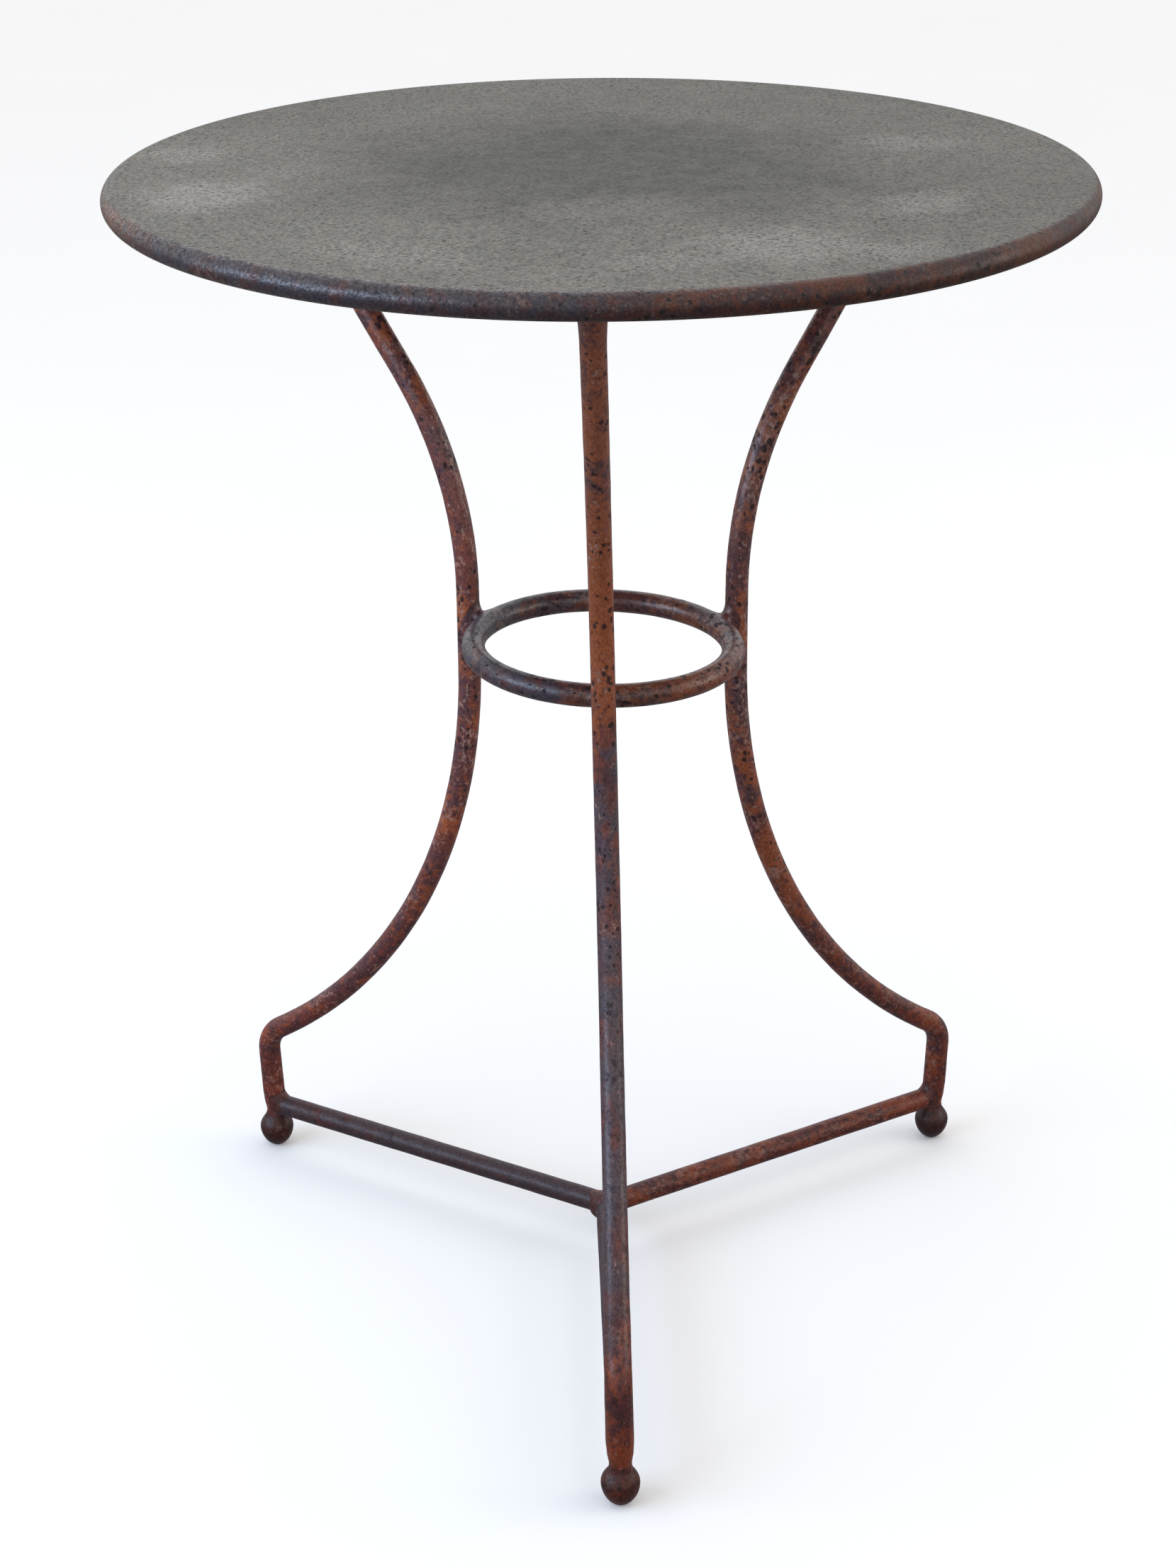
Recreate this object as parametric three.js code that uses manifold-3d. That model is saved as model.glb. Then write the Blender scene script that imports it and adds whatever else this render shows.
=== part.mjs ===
// Round cafe table in old steel: a sheet top with its edge rolled round a wire, three bent legs on
// forged ball feet, a ring that ties the legs at the waist and a Y of bars just above the feet.
// Millimetres, +Z up. The origin is on the floor, under the centre of the top.

import * as THREE from 'three';
import { mergeVertices } from 'three/addons/utils/BufferGeometryUtils.js';
import Module from 'manifold-3d';

const wasm = await Module();
wasm.setup();

// ---------------------------------------------------------------- driving dimensions

const TABLE_HEIGHT = 750;
const TOP_DIAMETER = 585.6;
const BAR_RADIUS = 7.5; // the legs, ring and stretchers are all bent from one bar stock
const GAP = 0.3; // clearance between pieces that touch

// Top: the sheet's edge goes over, round and back under a wire, and stops on the inside.
const SHEET_THICKNESS = 2;
const ROLL_RADIUS = 7.5; // outside of the rolled edge
const BRACE_WIDTH = 35; // flat bar spokes under the sheet, which the legs are welded to
const BRACE_THICKNESS = 5;

// Leg, as its centre line in the upright plane through the table's axis.
const WAIST_RADIUS = 101;
const WAIST_TOP = 467;
const WAIST_BOTTOM = 416;
const UPPER_BEND = 245;
const UPPER_LEAN = THREE.MathUtils.degToRad(35.4);
const LOWER_BEND = 378;
const KNEE_BEND = 24;
const KNEE_REACH = 283; // how far out the centre line is where the knee ends
const SHANK_LEAN = THREE.MathUtils.degToRad(2.8); // the shank runs inward as it goes down

// Ring and stretchers.
const RING_RADIUS = 82.3;
const RING_HEIGHT = 447.8;
const RING_TILT = THREE.MathUtils.degToRad(1.4); // hand made: the ring dips to the right
const STRETCHER_HEIGHT = 34.2;
const STRETCHER_BEND = 25; // where one bar turns from the left leg to the front leg

// Ball foot, turned about its own upright axis.
const BALL_RADIUS = 12.2;
const BALL_WIDEST = 15; // height of the widest place
const BALL_TOP = 28.5;
const BALL_NECK = 6.8;
const BALL_FLAT = 2.5; // radius of the worn spot that it stands on

// Handles of the ball's two curves: reach as a share of its radius, height of its widest place.
const UNDERSIDE_HANDLES = [[0.62, 0.1], [1, 0.55]];
const SHOULDER_HANDLES = [[1, 1.4], [0.705, 1.57]];

// Welds, as the half sizes of each lump: outward from the table's axis, sideways and upward.
const TOP_WELD = [14.5, 12, 9];
const BRACE_WELD = [6, 15, 4.5];
const BRACE_CENTRE_WELD = [17, 17, 3];
const RING_WELD = [8.6, 10.4, 13];
const STRETCHER_WELD = [8.5, 9.8, 11];
const HUB_WELD = [7.5, 10.5, 9.4];
const NECK_BEAD = 1.9; // radius of the bead round each ankle
const WELD_OFFSET = 1; // how far off the bar's surface a lump's middle lies
const STRETCHER_WELD_RISE = 1.5; // there is more weld on top of a stretcher than below it

// The legs stand about 120 degrees apart, set out by eye. Bearings turn from +X towards +Y.
const LEGS = [
  { name: 'front', bearing: -90.5, sideLean: 1.0 },
  { name: 'left', bearing: 149.5, sideLean: 0 },
  { name: 'right', bearing: 30.6, sideLean: 0 },
];

// How finely round shapes are divided.
const BAR_SIDES = 14;
const ROLL_STEPS = 16; // round the rolled edge, seen in section
const TOP_STEPS = 96; // round the table
const RING_STEPS = 48;
const LONG_BEND_STEP = 0.055; // turn in radians between two sections of a long bend
const TIGHT_BEND_STEP = 0.17;
const BALL_SIDES = 24;
const BALL_STEPS = 6; // up each curve of the ball's outline
const LUMP_SIDES = 16;
const LUMP_BANDS = 10;
const BEAD_SIDES = 8;

// ---------------------------------------------------------------- derived dimensions

const rollReach = TOP_DIAMETER / 2 - ROLL_RADIUS; // centre of the roll, from the table's axis
const rollHeight = TABLE_HEIGHT - ROLL_RADIUS;
const sheetUnderside = TABLE_HEIGHT - SHEET_THICKNESS;
const braceTop = sheetUnderside - GAP;
const braceUnderside = braceTop - BRACE_THICKNESS;
const legTop = braceUnderside - GAP;
const ankle = BALL_TOP + GAP;
const waistMiddle = (WAIST_TOP + WAIST_BOTTOM) / 2;

// How far the lower bend sweeps before the knee takes over.
const bendCentreRadius = WAIST_RADIUS + LOWER_BEND;
const lowerSweep = Math.acos(
  (bendCentreRadius + KNEE_BEND * Math.cos(SHANK_LEAN) - KNEE_REACH) / (LOWER_BEND + KNEE_BEND),
);

// ---------------------------------------------------------------- finishes

const rust = { color: 0x5b3d33, roughness: 0.62, metalness: 0.45 };
const darkIron = { color: 0x3a2d2b, roughness: 0.55, metalness: 0.5 };
const weldMetal = { color: 0x55494a, roughness: 0.6, metalness: 0.5 };
const wornSheet = { color: 0x7f7d73, roughness: 0.58, metalness: 0.4 };

function makeMesh(name, geometry, finish) {
  const mesh = new THREE.Mesh(geometry, new THREE.MeshStandardMaterial(finish));
  mesh.name = name;
  return mesh;
}

// ---------------------------------------------------------------- cutting

function toSolid(geometry) {
  const bare = geometry.clone();
  bare.deleteAttribute('normal');
  bare.deleteAttribute('uv');
  const merged = mergeVertices(bare);
  const corners = [];
  for (let i = 0; i < merged.index.count; i += 3) {
    const [a, b, c] = [0, 1, 2].map((step) => merged.index.getX(i + step));
    if (a !== b && b !== c && c !== a) corners.push(a, b, c);
  }
  return new wasm.Manifold(
    new wasm.Mesh({
      numProp: 3,
      vertProperties: new Float32Array(merged.attributes.position.array),
      triVerts: new Uint32Array(corners),
    }),
  );
}

function toGeometry(solid) {
  const mesh = solid.getMesh();
  const geometry = new THREE.BufferGeometry();
  geometry.setAttribute('position', new THREE.BufferAttribute(mesh.vertProperties, 3));
  geometry.setIndex(new THREE.BufferAttribute(mesh.triVerts, 1));
  geometry.computeVertexNormals();
  return geometry;
}

// Everything on one side of a level plane, as a slab wide enough for the whole table.
function slab(fromHeight, toHeight) {
  const width = TOP_DIAMETER * 2;
  const box = new THREE.BoxGeometry(width, width, toHeight - fromHeight);
  return toSolid(box.translate(0, 0, (fromHeight + toHeight) / 2));
}

const aboveLegs = slab(legTop, TABLE_HEIGHT * 2);
const belowLegs = slab(-TABLE_HEIGHT, ankle);

// ---------------------------------------------------------------- round bar

// A bar's centre line made of flat lines and arcs. A line takes one step and an arc takes a step
// for each few degrees of turn, so that long straight runs cost nothing.
class BarPath extends THREE.Curve {
  constructor(pieces, toSpace) {
    super();
    this.toSpace = toSpace;
    this.stations = pieces.flatMap((piece, order) => {
      const steps = piece.isEllipseCurve ? this.arcSteps(piece) : 1;
      const first = order === 0 ? 0 : 1;
      const places = Array.from({ length: steps + 1 - first }, (_, i) => (i + first) / steps);
      return places.map((place) => ({ piece, place }));
    });
    this.steps = this.stations.length - 1;
  }

  arcSteps(arc) {
    const turn = Math.abs(arc.aEndAngle - arc.aStartAngle);
    const isLong = arc.xRadius >= UPPER_BEND;
    return Math.ceil(turn / (isLong ? LONG_BEND_STEP : TIGHT_BEND_STEP));
  }

  station(u) {
    return this.stations[Math.round(u * this.steps)];
  }

  getPointAt(u) {
    const { piece, place } = this.station(u);
    return this.toSpace(piece.getPoint(place));
  }

  getTangentAt(u) {
    const { piece, place } = this.station(u);
    const flat = piece.getTangent(place);
    const start = this.toSpace(new THREE.Vector2());
    return this.toSpace(flat).sub(start).normalize();
  }

  getSpacedPoints(steps) {
    return Array.from({ length: steps + 1 }, (_, i) => this.getPointAt(i / steps));
  }
}

function barGeometry(path, radius) {
  const section = new THREE.Shape().absarc(0, 0, radius, 0, Math.PI * 2);
  return new THREE.ExtrudeGeometry(section, {
    steps: path.steps,
    extrudePath: path,
    curveSegments: BAR_SIDES / 2,
    bevelEnabled: false,
  });
}

// ---------------------------------------------------------------- leg

function pointOnArc(centre, radius, angle) {
  return new THREE.Vector2(Math.cos(angle), Math.sin(angle)).multiplyScalar(radius).add(centre);
}

// The centre line from above the top end down past the ankle, in (radius, height).
function legCentreLine() {
  const upperCentre = new THREE.Vector2(WAIST_RADIUS + UPPER_BEND, WAIST_TOP);
  const lowerCentre = new THREE.Vector2(bendCentreRadius, WAIST_BOTTOM);
  const kneeCentre = pointOnArc(lowerCentre, LOWER_BEND + KNEE_BEND, Math.PI + lowerSweep);
  const upperEnd = pointOnArc(upperCentre, UPPER_BEND, Math.PI - UPPER_LEAN);
  const kneeEnd = pointOnArc(kneeCentre, KNEE_BEND, -SHANK_LEAN);
  const overTop = upperEnd.clone();
  overTop.y = legTop + 2 * BAR_RADIUS;
  overTop.x += (overTop.y - upperEnd.y) * Math.tan(UPPER_LEAN);
  const underAnkle = new THREE.Vector2(shankRadius(ankle / 2), ankle / 2);
  const arc = (centre, radius, from, to) =>
    new THREE.EllipseCurve(centre.x, centre.y, radius, radius, from, to, to < from);
  return [
    new THREE.LineCurve(overTop, upperEnd),
    arc(upperCentre, UPPER_BEND, Math.PI - UPPER_LEAN, Math.PI),
    new THREE.LineCurve(
      new THREE.Vector2(WAIST_RADIUS, WAIST_TOP),
      new THREE.Vector2(WAIST_RADIUS, WAIST_BOTTOM),
    ),
    arc(lowerCentre, LOWER_BEND, Math.PI, Math.PI + lowerSweep),
    arc(kneeCentre, KNEE_BEND, lowerSweep, -SHANK_LEAN),
    new THREE.LineCurve(kneeEnd, underAnkle),
  ];
}

// How far out the shank's centre line is at a height below the knee.
function shankRadius(height) {
  const kneeHeight =
    WAIST_BOTTOM -
    (LOWER_BEND + KNEE_BEND) * Math.sin(lowerSweep) -
    KNEE_BEND * Math.sin(SHANK_LEAN);
  return KNEE_REACH - (kneeHeight - height) * Math.tan(SHANK_LEAN);
}

// Turns a leg drawn in the plane of +X to its bearing, and leans it sideways about its waist.
function legPlace(leg) {
  const turn = new THREE.Matrix4().makeRotationZ(THREE.MathUtils.degToRad(leg.bearing));
  const lean = new THREE.Matrix4().makeRotationX(THREE.MathUtils.degToRad(leg.sideLean));
  const down = new THREE.Matrix4().makeTranslation(0, 0, -waistMiddle);
  const up = new THREE.Matrix4().makeTranslation(0, 0, waistMiddle);
  return turn.multiply(up).multiply(lean).multiply(down);
}

function onLeg(leg, radius, height) {
  return new THREE.Vector3(radius, 0, height).applyMatrix4(legPlace(leg));
}

function legSolid(leg, radius) {
  const path = new BarPath(legCentreLine(), (flat) => new THREE.Vector3(flat.x, 0, flat.y));
  const bar = barGeometry(path, radius).applyMatrix4(legPlace(leg));
  return toSolid(bar);
}

function makeLeg(leg) {
  const solid = legSolid(leg, BAR_RADIUS).subtract(aboveLegs).subtract(belowLegs);
  return makeMesh(`leg_${leg.name}`, toGeometry(solid), rust);
}

// ---------------------------------------------------------------- ball foot

// An upside-down drop: a rounded point below, a full belly and a hollow run up into the neck.
function ballProfile(grow) {
  const radius = BALL_RADIUS + grow;
  const handles = (pairs) => pairs.flatMap(([out, up]) => [out * radius, up * BALL_WIDEST]);
  const profile = new THREE.Path();
  profile.moveTo(0, -grow);
  profile.lineTo(BALL_FLAT + grow, -grow);
  profile.bezierCurveTo(...handles(UNDERSIDE_HANDLES), radius, BALL_WIDEST);
  profile.bezierCurveTo(...handles(SHOULDER_HANDLES), BALL_NECK + grow, BALL_TOP + grow);
  profile.lineTo(0, BALL_TOP + grow);
  return profile.getPoints(BALL_STEPS);
}

function ballGeometry(leg, grow) {
  const middle = onLeg(leg, shankRadius(BALL_TOP), BALL_TOP);
  const ball = new THREE.LatheGeometry(ballProfile(grow), BALL_SIDES).rotateX(Math.PI / 2);
  return ball.translate(middle.x, middle.y, 0);
}

function makeFoot(leg) {
  return makeMesh(`foot_ball_${leg.name}`, ballGeometry(leg, 0), darkIron);
}

// ---------------------------------------------------------------- ring

function ringGeometry(radius) {
  const ring = new THREE.TorusGeometry(RING_RADIUS, radius, BAR_SIDES, RING_STEPS);
  return ring.rotateY(RING_TILT).translate(0, 0, RING_HEIGHT);
}

function makeRing() {
  return makeMesh('middle_ring', ringGeometry(BAR_RADIUS), rust);
}

// ---------------------------------------------------------------- stretchers

function stretcherEnd(name) {
  const leg = LEGS.find((each) => each.name === name);
  const point = onLeg(leg, shankRadius(STRETCHER_HEIGHT), STRETCHER_HEIGHT);
  return new THREE.Vector2(point.x, point.y);
}

// The bend between two bars that meet over the middle of the floor.
function stretcherBend() {
  const toLeft = stretcherEnd('left').normalize();
  const toFront = stretcherEnd('front').normalize();
  const middle = toLeft.clone().add(toFront).normalize();
  const halfAngle = toLeft.angleTo(toFront) / 2;
  const centre = middle.clone().multiplyScalar(STRETCHER_BEND / Math.sin(halfAngle));
  const apex = centre.clone().sub(middle.clone().multiplyScalar(STRETCHER_BEND));
  const tangentLength = STRETCHER_BEND / Math.tan(halfAngle);
  return { toLeft, toFront, centre, apex, tangentLength };
}

const atStretcherHeight = (flat) => new THREE.Vector3(flat.x, flat.y, STRETCHER_HEIGHT);

function bentStretcherSolid(radius) {
  const { toLeft, toFront, centre, tangentLength } = stretcherBend();
  const bendStart = toLeft.clone().multiplyScalar(tangentLength);
  const bendEnd = toFront.clone().multiplyScalar(tangentLength);
  const startAngle = bendStart.clone().sub(centre).angle();
  const sweep = Math.PI - toLeft.angleTo(toFront);
  const bend = new THREE.EllipseCurve(
    centre.x,
    centre.y,
    STRETCHER_BEND,
    STRETCHER_BEND,
    startAngle,
    startAngle - sweep,
    true,
  );
  const pieces = [
    new THREE.LineCurve(stretcherEnd('left'), bendStart),
    bend,
    new THREE.LineCurve(bendEnd, stretcherEnd('front')),
  ];
  return toSolid(barGeometry(new BarPath(pieces, atStretcherHeight), radius));
}

function rightStretcherSolid(radius) {
  const line = new THREE.LineCurve(stretcherEnd('right'), stretcherBend().apex);
  return toSolid(barGeometry(new BarPath([line], atStretcherHeight), radius));
}

function makeStretchers() {
  let bent = bentStretcherSolid(BAR_RADIUS);
  let right = rightStretcherSolid(BAR_RADIUS).subtract(bentStretcherSolid(BAR_RADIUS + GAP));
  for (const leg of LEGS) {
    const footing = legSolid(leg, BAR_RADIUS + GAP).add(toSolid(ballGeometry(leg, GAP)));
    bent = bent.subtract(footing);
    right = right.subtract(footing);
  }
  return [
    makeMesh('stretcher_left_to_front', toGeometry(bent), rust),
    makeMesh('stretcher_right', toGeometry(right), rust),
  ];
}

// ---------------------------------------------------------------- top

// A hoop that lies in the middle of the rolled edge.
function edgeHoop(radius) {
  const hoop = new THREE.TorusGeometry(rollReach, radius, BAR_SIDES, TOP_STEPS);
  return hoop.translate(0, 0, rollHeight);
}

function makeWire() {
  return makeMesh('rim_wire', edgeHoop(ROLL_RADIUS - SHEET_THICKNESS - GAP), darkIron);
}

function makeSheet() {
  const profile = new THREE.Path();
  profile.moveTo(0, TABLE_HEIGHT);
  profile.lineTo(rollReach, TABLE_HEIGHT);
  profile.absarc(rollReach, rollHeight, ROLL_RADIUS, Math.PI / 2, -Math.PI, true);
  profile.absarc(rollReach, rollHeight, ROLL_RADIUS - SHEET_THICKNESS, -Math.PI, Math.PI / 2, false);
  profile.lineTo(0, sheetUnderside);
  const section = profile.getPoints(ROLL_STEPS / 2);
  const disc = new THREE.LatheGeometry(section.reverse(), TOP_STEPS).rotateX(Math.PI / 2);
  return makeMesh('top_sheet', disc, wornSheet);
}

// A flat bar from the middle to the rolled edge. Its inner end is mitred to meet the other two.
function makeBrace(leg) {
  const half = BRACE_WIDTH / 2;
  const outer = Math.sqrt((rollReach - ROLL_RADIUS - GAP) ** 2 - half ** 2);
  const tip = 2 * GAP;
  const mitre = tip + half / Math.tan(Math.PI / 3);
  const outline = new THREE.Shape([
    new THREE.Vector2(tip, 0),
    new THREE.Vector2(mitre, -half),
    new THREE.Vector2(outer, -half),
    new THREE.Vector2(outer, half),
    new THREE.Vector2(mitre, half),
  ]);
  const bar = new THREE.ExtrudeGeometry(outline, { depth: BRACE_THICKNESS, bevelEnabled: false });
  const mesh = makeMesh(`brace_${leg.name}`, bar, darkIron);
  mesh.position.z = braceUnderside;
  mesh.rotation.z = THREE.MathUtils.degToRad(leg.bearing);
  return mesh;
}

// ---------------------------------------------------------------- welds

// A rounded lump of weld metal: an ellipsoid with its first radius along a bearing.
function lump(centre, radii, bearing) {
  const ball = new THREE.SphereGeometry(1, LUMP_SIDES, LUMP_BANDS).rotateX(Math.PI / 2).scale(...radii);
  const turned = ball.rotateZ(THREE.MathUtils.degToRad(bearing));
  return toSolid(turned.translate(centre.x, centre.y, centre.z));
}

function makeWeld(name, weldLump, ...neighbours) {
  const solid = neighbours.reduce((rest, neighbour) => rest.subtract(neighbour), weldLump);
  return makeMesh(name, toGeometry(solid), weldMetal);
}

function makeTopWeld(leg) {
  const bendRise = UPPER_BEND * Math.sin(UPPER_LEAN);
  const bendReach = UPPER_BEND * (1 - Math.cos(UPPER_LEAN));
  const straightRise = legTop - WAIST_TOP - bendRise;
  const reach = WAIST_RADIUS + bendReach + straightRise * Math.tan(UPPER_LEAN);
  const weldLump = lump(onLeg(leg, reach, legTop), TOP_WELD, leg.bearing);
  return makeWeld(`weld_top_${leg.name}`, weldLump, legSolid(leg, BAR_RADIUS + GAP), aboveLegs);
}

function makeBraceWeld(leg) {
  const bearing = THREE.MathUtils.degToRad(leg.bearing);
  const reach = rollReach - ROLL_RADIUS - WELD_OFFSET;
  const centre = new THREE.Vector3(Math.cos(bearing), Math.sin(bearing), 0).multiplyScalar(reach);
  centre.z = legTop;
  const weldLump = lump(centre, BRACE_WELD, leg.bearing);
  const roll = toSolid(edgeHoop(ROLL_RADIUS + GAP));
  return makeWeld(`weld_brace_${leg.name}`, weldLump, roll, aboveLegs);
}

function makeBraceCentreWeld() {
  const weldLump = lump(new THREE.Vector3(0, 0, legTop), BRACE_CENTRE_WELD, 0);
  return makeWeld('weld_brace_centre', weldLump, aboveLegs);
}

function makeRingWeld(leg) {
  const centre = onLeg(leg, (RING_RADIUS + WAIST_RADIUS) / 2, RING_HEIGHT);
  centre.z -= centre.x * Math.tan(RING_TILT);
  const weldLump = lump(centre, RING_WELD, leg.bearing);
  const ring = toSolid(ringGeometry(BAR_RADIUS + GAP));
  return makeWeld(`weld_ring_${leg.name}`, weldLump, ring, legSolid(leg, BAR_RADIUS + GAP));
}

// The bead round the neck, where the ball is welded to the end of the leg.
function makeFootWeld(leg) {
  const middle = onLeg(leg, shankRadius(BALL_TOP), BALL_TOP);
  const bead = new THREE.TorusGeometry(BAR_RADIUS + GAP, NECK_BEAD, BEAD_SIDES, BALL_SIDES);
  return makeWeld(
    `weld_foot_${leg.name}`,
    toSolid(bead.translate(middle.x, middle.y, middle.z)),
    legSolid(leg, BAR_RADIUS + GAP),
    toSolid(ballGeometry(leg, GAP)),
    bentStretcherSolid(BAR_RADIUS + GAP),
    rightStretcherSolid(BAR_RADIUS + GAP),
  );
}

// A fillet over the top and sides of a stretcher's end. It stops above the neck bead.
function makeStretcherWeld(leg) {
  const end = stretcherEnd(leg.name);
  const centre = atStretcherHeight(end.setLength(end.length() - BAR_RADIUS - WELD_OFFSET));
  centre.z += STRETCHER_WELD_RISE;
  return makeWeld(
    `weld_stretcher_${leg.name}`,
    lump(centre, STRETCHER_WELD, leg.bearing),
    legSolid(leg, BAR_RADIUS + GAP),
    bentStretcherSolid(BAR_RADIUS + GAP),
    rightStretcherSolid(BAR_RADIUS + GAP),
    slab(0, BALL_TOP + NECK_BEAD + GAP),
  );
}

function makeHubWeld() {
  const toRight = stretcherEnd('right').normalize();
  const middle = stretcherBend().apex.addScaledVector(toRight, BAR_RADIUS + WELD_OFFSET);
  const right = LEGS.find((leg) => leg.name === 'right');
  const weldLump = lump(atStretcherHeight(middle), HUB_WELD, right.bearing);
  return makeWeld(
    'weld_stretcher_hub',
    weldLump,
    bentStretcherSolid(BAR_RADIUS + GAP),
    rightStretcherSolid(BAR_RADIUS + GAP),
  );
}

// ---------------------------------------------------------------- assembly

const table = new THREE.Group();
table.add(makeSheet(), makeWire(), makeRing(), ...makeStretchers());
for (const leg of LEGS) {
  table.add(makeLeg(leg), makeFoot(leg), makeBrace(leg));
  table.add(makeTopWeld(leg), makeBraceWeld(leg), makeRingWeld(leg));
  table.add(makeStretcherWeld(leg), makeFootWeld(leg));
}
table.add(makeBraceCentreWeld(), makeHubWeld());

export default table;
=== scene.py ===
"""A round cafe table in old rusted steel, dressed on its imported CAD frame.

Metres, +Z up. The origin is on the floor under the centre of the top, and the front leg
stands towards -Y. Every piece is built here in mesh code and stands for the CAD node of
the same name. All finishes are procedural.
"""

import math
from itertools import product

import bmesh
import bpy
import numpy as np
from mathutils import Matrix, Vector, noise


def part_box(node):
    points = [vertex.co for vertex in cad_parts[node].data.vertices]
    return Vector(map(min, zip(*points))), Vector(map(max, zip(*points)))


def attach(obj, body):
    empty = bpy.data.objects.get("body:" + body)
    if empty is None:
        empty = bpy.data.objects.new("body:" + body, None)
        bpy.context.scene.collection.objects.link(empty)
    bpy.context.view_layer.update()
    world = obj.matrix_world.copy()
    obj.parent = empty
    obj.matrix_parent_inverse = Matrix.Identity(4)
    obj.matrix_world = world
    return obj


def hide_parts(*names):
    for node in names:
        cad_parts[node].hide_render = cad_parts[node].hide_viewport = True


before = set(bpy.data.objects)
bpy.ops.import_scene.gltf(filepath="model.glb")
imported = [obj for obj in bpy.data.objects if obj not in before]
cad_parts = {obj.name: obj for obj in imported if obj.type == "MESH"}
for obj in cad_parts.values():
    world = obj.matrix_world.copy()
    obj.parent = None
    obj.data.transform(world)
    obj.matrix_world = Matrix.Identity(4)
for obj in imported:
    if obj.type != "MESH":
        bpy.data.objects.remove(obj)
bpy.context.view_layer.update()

# ---------------------------------------------------------------- driving dimensions

MM = 0.001
sheet_low, sheet_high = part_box("top_sheet")
ring_low, ring_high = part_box("middle_ring")

TABLE_HEIGHT = sheet_high.z
ROLL_RADIUS = (sheet_high.z - sheet_low.z) / 2
ROLL_REACH = sheet_high.x - ROLL_RADIUS  # the middle of the rolled edge
SHEET_THICKNESS = 2 * MM
GAP = 0.3 * MM  # left between the pieces of the top

BAR_RADIUS = 7.5 * MM
WAIST_RADIUS = 101 * MM
WAIST_TOP = 467 * MM
WAIST_BOTTOM = 416 * MM
UPPER_BEND = 245 * MM
UPPER_LEAN = math.radians(35.4)
LOWER_BEND = 378 * MM
KNEE_BEND = 24 * MM
KNEE_REACH = 283 * MM
SHANK_LEAN = math.radians(2.8)

RING_RADIUS = ring_high.y - BAR_RADIUS
RING_HEIGHT = (ring_low.z + ring_high.z) / 2
RING_TILT = math.radians(1.4)
STRETCHER_HEIGHT = 34.2 * MM
STRETCHER_BEND = 25 * MM
STRETCHER_SHORT = 3.5 * MM  # how far from a leg's centre line a stretcher stops

BALL_RADIUS = 12.2 * MM
BALL_WIDEST = 15 * MM  # the height where a ball is that wide
BALL_TOP = 28.5 * MM
BALL_NECK = 6.5 * MM  # its radius at the top
BALL_FLAT = 2.5 * MM  # the radius of the worn flat that it stands on
NECK_SINK = 2 * MM  # how deep a leg's end is let into its ball

# The handles of the two curves of a ball's outline, as shares of the two values at its widest.
UNDERSIDE_HANDLES = [(0.62, 0.1), (1, 0.55)]
SHOULDER_HANDLES = [(1, 1.4), (0.64, 1.5)]

BRACE_WIDTH = 35 * MM
BRACE_THICKNESS = 5 * MM
BRACE_EDGE = 0.9 * MM  # how far its edges are rounded

# Bearings turn from +X towards +Y, in degrees. The front leg leans sideways by a degree.
LEGS = {"front": (-90.5, 1.0), "left": (149.5, 0.0), "right": (30.6, 0.0)}

# How thick a leg is at each height: thicker where its ends were forged, with a neck at the ball.
SHANK_HEIGHTS = [28 * MM, 31 * MM, 38 * MM, 47 * MM, 78 * MM, 135 * MM, 700 * MM, 742 * MM]
SHANK_RADII = [6.6 * MM, 6.9 * MM, 7.8 * MM, 8.2 * MM, 8.1 * MM, 7.6 * MM, BAR_RADIUS, 8.8 * MM]
SHANK_SWELL = {"front": 1.065, "left": 0.97, "right": 1.0}  # how stout each leg's foot end is
SWELL_FADE = (80 * MM, 180 * MM)  # the heights between which that dies away

STATION = 2.5 * MM  # spacing of sections along a bar
REPEATED = 1e-7  # two points closer together than this are one point
BAR_SIDES = 36
BALL_SIDES = 48
TOP_SIDES = 288
FACE_STEPS = 60  # rows of points across the top, over the roll, inside it and underneath
ROLL_STEPS = 56
LINING_STEPS = 40
UNDER_STEPS = 24
CURVE_STEPS = 14  # rows over each of the two curves of a ball

# How far hand work and rust have taken each surface from its true shape.
BAR_UNEVENNESS = 0.22 * MM
BALL_UNEVENNESS = 0.25 * MM
ROLL_UNEVENNESS = 0.18 * MM
SHEET_DENTS = 0.3 * MM
DENTS_FADE = 40 * MM  # how far in from the roll the dents are at their full depth
GRAIN_STRETCH = 0.8  # the bars' markings are longer along the bar than across it

# Each kind of weld: how far it reaches from its middle, and how wide its fillet is.
WELDS = {
    "ring": (21 * MM, 12 * MM),
    "stretcher": (17 * MM, 7 * MM),
    "foot": (10 * MM, 2 * MM),
    "top": ((17 * MM, 17 * MM, 14 * MM), 9 * MM),
    "brace": ((16 * MM, 16 * MM, 9 * MM), 7 * MM),
    "brace_centre": ((17 * MM, 17 * MM, 4.5 * MM), 4 * MM),
    "hub": (18 * MM, 8 * MM),
}
WELD_CELL = 0.75 * MM  # the spacing of the grid that a weld is worked out on
WELD_SINK = 0.3 * MM  # how deep a weld's skin lies in a bar where it adds nothing
WELD_ROUGHNESS = 0.12 * MM
WELD_OFFSET = BAR_RADIUS + 1 * MM  # from one bar's centre line to the middle of its weld
WELD_VIEW = 40 * MM  # how much of a bar is looked at to shape its weld
WELD_EDGE = 0.93  # where a weld is cut off, as a share of its reach
CENTRE_PAD = (15 * MM, 15 * MM, 2.6 * MM)  # half the size of the lump where the braces meet
NECK_CLEARANCE = 2.5 * MM  # from the top of a ball up to the stretcher's weld
WELD_ROOM = 20 * MM  # the height left free for a weld, over a stretcher or under a brace

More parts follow.
